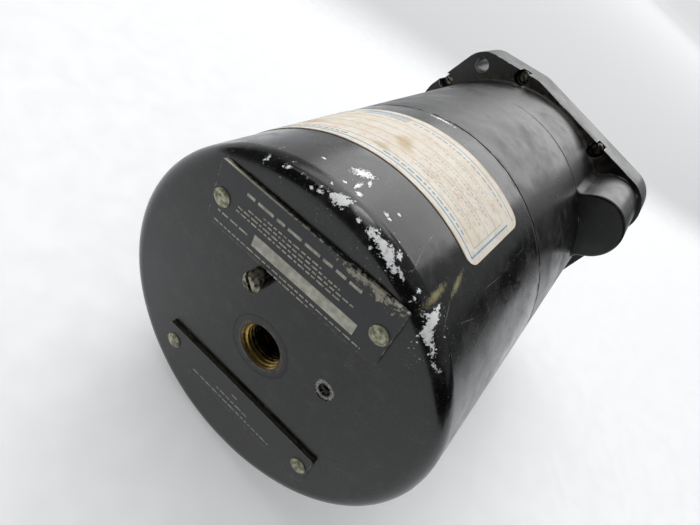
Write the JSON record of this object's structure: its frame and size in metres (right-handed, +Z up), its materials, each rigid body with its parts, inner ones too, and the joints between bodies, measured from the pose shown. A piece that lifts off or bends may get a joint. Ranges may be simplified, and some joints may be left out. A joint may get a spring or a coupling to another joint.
{
  "type": "vertical speed indicator",
  "caption": "Panel-mounted vertical speed indicator with a round barrel, a square mounting flange, a rear static port, and a capsule movement that drives its pointer.",
  "frame": {"origin": "centre of the mounting flange's rear face, on the instrument's axis", "axes": "+Y along the barrel to the rear, the dial faces -Y, +Z up on the dial, +X to the right as seen from the front"},
  "size_m": [0.082, 0.1368, 0.082],
  "materials": {
    "case_paint": "satin black paint, chipped to bare aluminium along the rear rim",
    "plate_paint": "satin black with fine pale lines",
    "rivet_aluminium": "dull, oxidised",
    "label_paper": "aged cream paper, stained",
    "rubber": "matt",
    "brass": "turned",
    "gauze": "fine gauze, dull",
    "steel": "turned, slightly worn",
    "spring_bronze": "rolled sheet",
    "frame_aluminium": "machined",
    "glass": "clear, polished",
    "dial_paint": "matt black with white markings",
    "pointer_paint": "matt white",
    "copper_tube": "drawn",
    "ceramic": "porous"
  },
  "bodies": {
    "case": {"front_case": "case_paint", "rear_cover": "case_paint", "bezel": "case_paint", "name_plate": "plate_paint", "lower_plate": "plate_paint", "name_plate_rivets": "rivet_aluminium", "lower_plate_rivets": "rivet_aluminium", "paper_label": "label_paper", "seam_gasket": "rubber", "glass_gasket": "rubber", "port_seal": "rubber", "adjust_seal": "rubber", "port_bushing": "brass", "staff_bushes": "brass", "rocking_bushes": "brass", "eccentric_bushes": "brass", "leak_body": "brass", "capsule_foot": "brass", "capsule_nut": "brass", "plate_pillars": "brass", "frame_posts": "brass", "long_posts": "brass", "dial_posts": "brass", "port_screen": "gauze", "rear_cover_screw": "steel", "bezel_screws": "steel", "dial_screws": "steel", "front_plate_screws": "steel", "plate_screws": "steel", "block_screw": "steel", "bracket_screws": "steel", "hairspring_stud": "steel", "hairspring": "spring_bronze", "capsule": "spring_bronze", "front_plate": "frame_aluminium", "middle_plate": "frame_aluminium", "rear_bridge": "frame_aluminium", "rear_block": "frame_aluminium", "capsule_bracket": "frame_aluminium", "cover_glass": "glass", "dial": "dial_paint", "static_tube": "copper_tube", "leak_plug": "ceramic"},
    "rocking_train": {"rocking_shaft": "steel", "sector_gear": "brass", "counterweight": "brass", "rocking_arm": "steel"},
    "pointer_train": {"handstaff": "steel", "pointer": "pointer_paint", "pointer_hub": "brass", "hairspring_collet": "brass"},
    "capsule_link": {"link": "steel", "link_rivet": "steel", "capsule_stud": "brass"},
    "zero_adjuster": {"zero_adjust_screw": "steel", "adjust_pinion": "brass", "adjust_collar": "brass"},
    "adjusting_lever": {"adjust_sector": "brass", "eccentric_shaft": "steel"}
  },
  "joints": [
    {"name": "rocking_turn", "type": "hinge", "parent": "case", "child": "rocking_train", "pos_m": [0.004, 0.02, 0.0267], "axis": [0, 1, 0], "range_deg": [-21.5, 21.5]},
    {"name": "pointer_turn", "type": "hinge", "parent": "case", "child": "pointer_train", "pos_m": [0, 0, 0], "axis": [0, 1, 0], "range_deg": [-172, 172]},
    {"name": "link_travel", "type": "slide", "parent": "case", "child": "capsule_link", "axis": [0, 0, 1], "range_m": [-0.00148, 0.00148], "stiffness_N_per_m": 150, "deforming": ["capsule"]},
    {"name": "lever_turn", "type": "hinge", "parent": "case", "child": "adjusting_lever", "pos_m": [-0.0174, 0.01, 0.0174], "axis": [0, 1, 0], "range_deg": [-9, 9]},
    {"name": "zero_adjust_turn", "type": "hinge", "parent": "case", "child": "zero_adjuster", "pos_m": [-0.03012, 0, 0.03012], "axis": [0, 1, 0], "range_deg": [-45, 45]}
  ],
  "couplings": [
    {"joint": "rocking_turn", "follows": "link_travel", "rad_per_m": 250},
    {"joint": "pointer_turn", "follows": "link_travel", "rad_per_m": -2000},
    {"joint": "zero_adjust_turn", "follows": "lever_turn", "ratio": -5}
  ]
}
